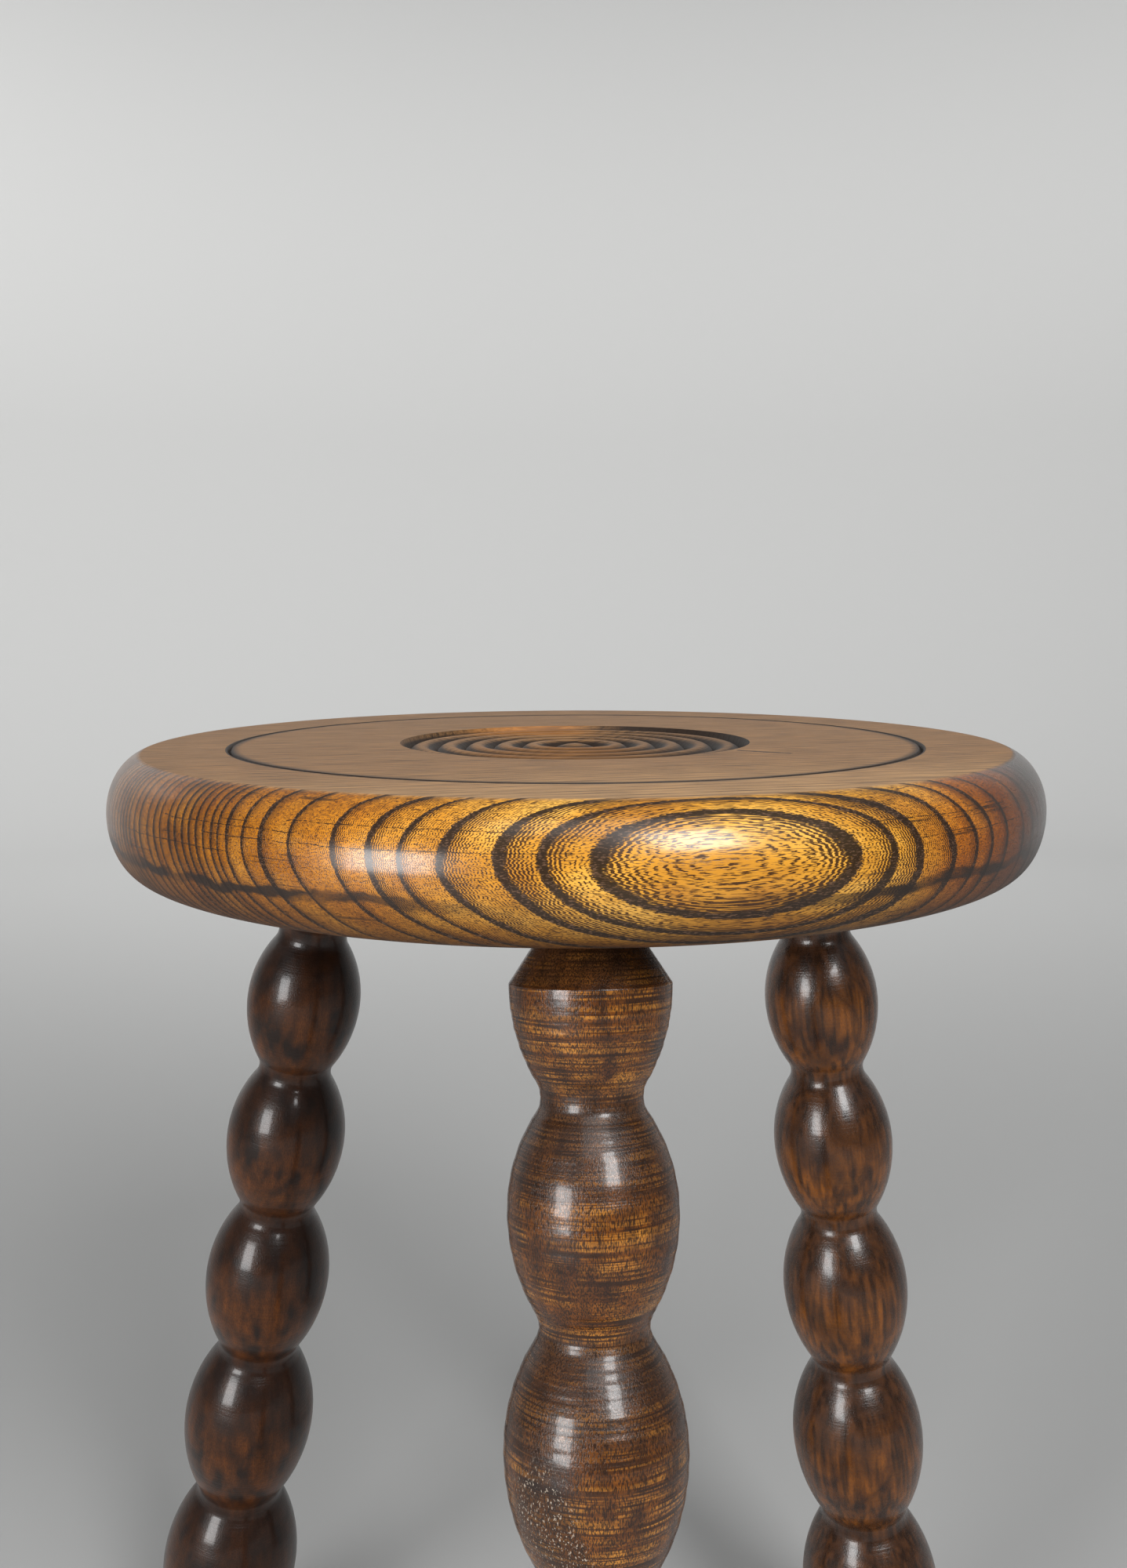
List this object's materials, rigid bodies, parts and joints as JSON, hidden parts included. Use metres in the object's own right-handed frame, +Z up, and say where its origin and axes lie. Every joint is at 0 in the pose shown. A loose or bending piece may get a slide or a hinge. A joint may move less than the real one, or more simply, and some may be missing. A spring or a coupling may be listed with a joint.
{
  "type": "bobbin stool",
  "caption": "Round turned wooden seat with a sunk reeded roundel, on splayed bobbin-turned legs that swell downwards.",
  "frame": {"origin": "on the floor, under the centre of the box round the whole stool", "axes": "+Z up; -Y towards the front leg; +X to the right as seen from the front"},
  "size_m": [0.3444, 0.3602, 0.4397],
  "materials": {
    "seat_wood": "waxed ring-porous hardwood",
    "leg_wood": "dark stained and waxed hardwood"
  },
  "bodies": {
    "root": {"seat": "seat_wood", "leg_front": "leg_wood", "leg_right_rear": "leg_wood", "leg_left_rear": "leg_wood"}
  },
  "joints": []
}
